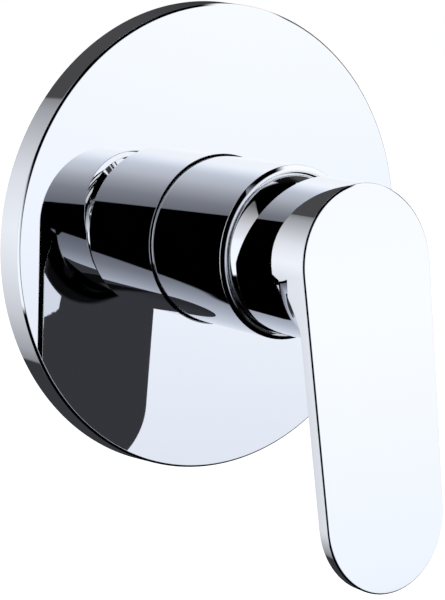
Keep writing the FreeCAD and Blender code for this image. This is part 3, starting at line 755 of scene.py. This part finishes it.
class TAP_OT_studio(bpy.types.Operator):
    """Set up the camera, the pale floor and the soft studio light"""
    bl_idname = "tap.studio"
    bl_label = "Studio"

    def execute(self, context):
        context.scene.view_settings.view_transform = "Standard"
        self.add_camera(context)
        self.add_floor()
        self.light_studio(context)
        return {"FINISHED"}

    def add_camera(self, context):
        """The camera at the photograph's place and angle."""
        clear_selection()
        turn = (Matrix.Rotation(math.radians(-CAMERA_HEADING), 3, "Z")
                @ Matrix.Rotation(math.radians(90 + CAMERA_TILT), 3, "X")
                @ Matrix.Rotation(math.radians(CAMERA_ROLL), 3, "Z"))
        bpy.ops.object.camera_add(location=CAMERA_PLACE, rotation=turn.to_euler())
        camera = context.object
        camera.name = "camera"
        camera.data.sensor_fit = "AUTO"
        camera.data.sensor_width = SENSOR_WIDTH
        camera.data.lens = CAMERA_LENS
        context.scene.camera = camera

    def add_floor(self):
        """A pale floor with a faint glow, which the chrome doesn't mirror."""
        clear_selection()
        bpy.ops.mesh.primitive_circle_add(vertices=FLOOR_CORNERS, radius=FLOOR_RADIUS, fill_type="NGON",
                                          location=(0, 0, cad_box[0].z - FLOOR_DROP))
        floor = bpy.context.object
        floor.name = "floor"
        bpy.ops.object.transform_apply(location=True)
        material, _, surface = shader("pale_floor")
        surface.inputs["Base Color"].default_value = (*colours().floor, 1)
        surface.inputs["Roughness"].default_value = FLOOR_ROUGHNESS
        surface.inputs["Emission Color"].default_value = WHITE
        surface.inputs["Emission Strength"].default_value = FLOOR_GLOW
        floor.data.materials.append(material)
        floor.visible_glossy = False

    def light_studio(self, context):
        """Soft light by direction in a dark room, in front of a white backdrop."""
        world = bpy.data.worlds.new("studio")
        context.scene.world = world
        world.use_nodes = True
        graph = Graph(world.node_tree)
        way = Directions(graph)
        light = self.dark_room(graph, way)
        for share, shade in (self.back_panel(graph, way), self.side_light(graph, way),
                             self.overhead_light(graph, way), self.front_window(graph, way)):
            light = graph.mix(share, light, shade)
        studio = graph.add("ShaderNodeBackground", inputs={"Color": light, "Strength": STUDIO_STRENGTH})
        backdrop = graph.add("ShaderNodeBackground", inputs={"Color": WHITE, "Strength": 1.0})
        seen = graph.add("ShaderNodeLightPath").outputs["Is Camera Ray"]
        both = graph.add("ShaderNodeMixShader", inputs={
            0: seen, 1: studio.outputs[0], 2: backdrop.outputs[0]})
        graph.add("ShaderNodeOutputWorld", inputs={"Surface": both.outputs[0]})

    def dark_room(self, graph, way):
        """The colour where no light is: charcoal behind and black in front."""
        charcoal = graph.mix(graph.ease(way.rise, *CHARCOAL_RISE), screen_colour(CHARCOAL_LOW),
                             screen_colour(CHARCOAL_HIGH))
        dark = graph.mix(graph.ease(way.back, *CHARCOAL_BACK), BLACK, charcoal)
        return graph.tint(dark, graph.ease(graph.math("ABSOLUTE", way.rise), *STEEP_RISE, *STEEP_SHARES))

    def back_panel(self, graph, way):
        """Share and colour of the panel at the back left."""
        share = graph.overlap(graph.ease(way.heading, *BACK_LEFT), graph.ease(way.heading, *BACK_RIGHT),
                              graph.ease(way.elevation, *BACK_TOP), graph.ease(way.elevation, *BACK_BOTTOM))
        shade = graph.tint(graph.ramp(way.spread, BACK_SHADES), graph.ramp(way.height, BACK_HEIGHT_SHADES))
        return share, shade

    def side_light(self, graph, way):
        """Share and colour of the tall light at the left, its top sloping down towards the front."""
        along = graph.math("ADD", way.heading, SIDE_TOP_START)
        top = graph.math("MULTIPLY_ADD", graph.math("MULTIPLY", along, along), -SIDE_TOP_FALL, SIDE_TOP)
        over_top = graph.math("SUBTRACT", way.elevation, top)
        share = graph.overlap(graph.ease(way.heading, *SIDE_LEFT), graph.ease(way.heading, *SIDE_RIGHT),
                              graph.ease(way.elevation, *SIDE_BOTTOM), graph.ease(over_top, *SIDE_TOP_EDGE))
        return share, graph.ramp(way.height, SIDE_SHADES)

    def overhead_light(self, graph, way):
        """Share and colour of the light over the back."""
        share = graph.overlap(graph.ease(way.rise, *OVERHEAD_RISE), graph.ease(way.back, *OVERHEAD_BACK))
        return share, screen_colour(OVERHEAD_COLOUR)

    def front_window(self, graph, way):
        """Share and colour of the window, its lower left corner round and its left edge leaning in above."""
        turn = math.radians(WINDOW_HEADING)
        towards = graph.math("MULTIPLY_ADD", way.across, math.sin(turn),
                             graph.math("MULTIPLY", way.back, -math.cos(turn)))
        sideways = graph.math("MULTIPLY_ADD", way.across, math.cos(turn),
                              graph.math("MULTIPLY", way.back, math.sin(turn)))
        depth = graph.math("MAXIMUM", towards, WINDOW_GRAZE[0])
        up_panel = graph.math("DIVIDE", way.rise, depth)
        lean = graph.math("MAXIMUM", graph.math("SUBTRACT", up_panel, WINDOW_LEAN_FROM), 0.0)
        lean = graph.math("MULTIPLY", graph.math("MULTIPLY", lean, lean), WINDOW_LEAN)
        across_panel = graph.math("SUBTRACT", graph.math("DIVIDE", sideways, depth), lean)
        left_of = graph.math("MAXIMUM", graph.math("SUBTRACT", WINDOW_CORNER[0], across_panel), 0.0)
        below = graph.math("MAXIMUM", graph.math("SUBTRACT", WINDOW_CORNER[1], up_panel), 0.0)
        away = graph.math("SQRT", graph.math("ADD", graph.math("MULTIPLY", left_of, left_of),
                                             graph.math("MULTIPLY", below, below)))
        share = graph.overlap(
            graph.ease(away, *WINDOW_CORNER_EDGE), graph.ease(towards, *WINDOW_GRAZE),
            graph.ease(way.elevation, *WINDOW_TOP), graph.ease(way.heading, *WINDOW_RIGHT))
        right_top = graph.overlap(graph.ease(way.across, *WHITE_ACROSS), graph.ease(way.rise, *WHITE_RISE))
        height_shade = graph.mix(right_top, graph.ramp(way.height, HEIGHT_SHADES), WHITE)
        return share, graph.tint(graph.ramp(way.spread, WINDOW_SHADES), height_shade)


class TAP_PT_panel(bpy.types.Panel):
    """Lists the steps that build the tap"""
    bl_idname = "TAP_PT_panel"
    bl_label = "Concealed mixer"
    bl_space_type = "VIEW_3D"
    bl_region_type = "UI"
    bl_category = "Tap"

    def draw(self, context):
        for step in STEPS:
            self.layout.operator(step.bl_idname)
        for group in (sizes(), colours()):
            column = self.layout.column()
            for name in group.__annotations__:
                column.prop(group, name)


STEPS = (TAP_OT_studio, TAP_OT_cover_plate, TAP_OT_sleeve, TAP_OT_dome_cap, TAP_OT_lever,
         TAP_OT_inner_finishes)
CLASSES = (TapSizes, TapColours, *STEPS, TAP_PT_panel)


def register():
    """Adds the classes and the values that the panel shows."""
    for kind in CLASSES:
        bpy.utils.register_class(kind)
    bpy.types.Scene.tap_sizes = bpy.props.PointerProperty(type=TapSizes)
    bpy.types.Scene.tap_colours = bpy.props.PointerProperty(type=TapColours)


def unregister():
    """Takes the classes, their values and the kept finishes away again."""
    finishes.cache_clear()
    del bpy.types.Scene.tap_colours
    del bpy.types.Scene.tap_sizes
    for kind in reversed(CLASSES):
        bpy.utils.unregister_class(kind)


def main():
    """Builds the stage and the pieces in order."""
    register()
    bpy.ops.tap.studio()
    bpy.ops.tap.cover_plate()
    bpy.ops.tap.sleeve()
    bpy.ops.tap.dome_cap()
    bpy.ops.tap.lever()
    bpy.ops.tap.inner_finishes()


if __name__ == "__main__":
    main()
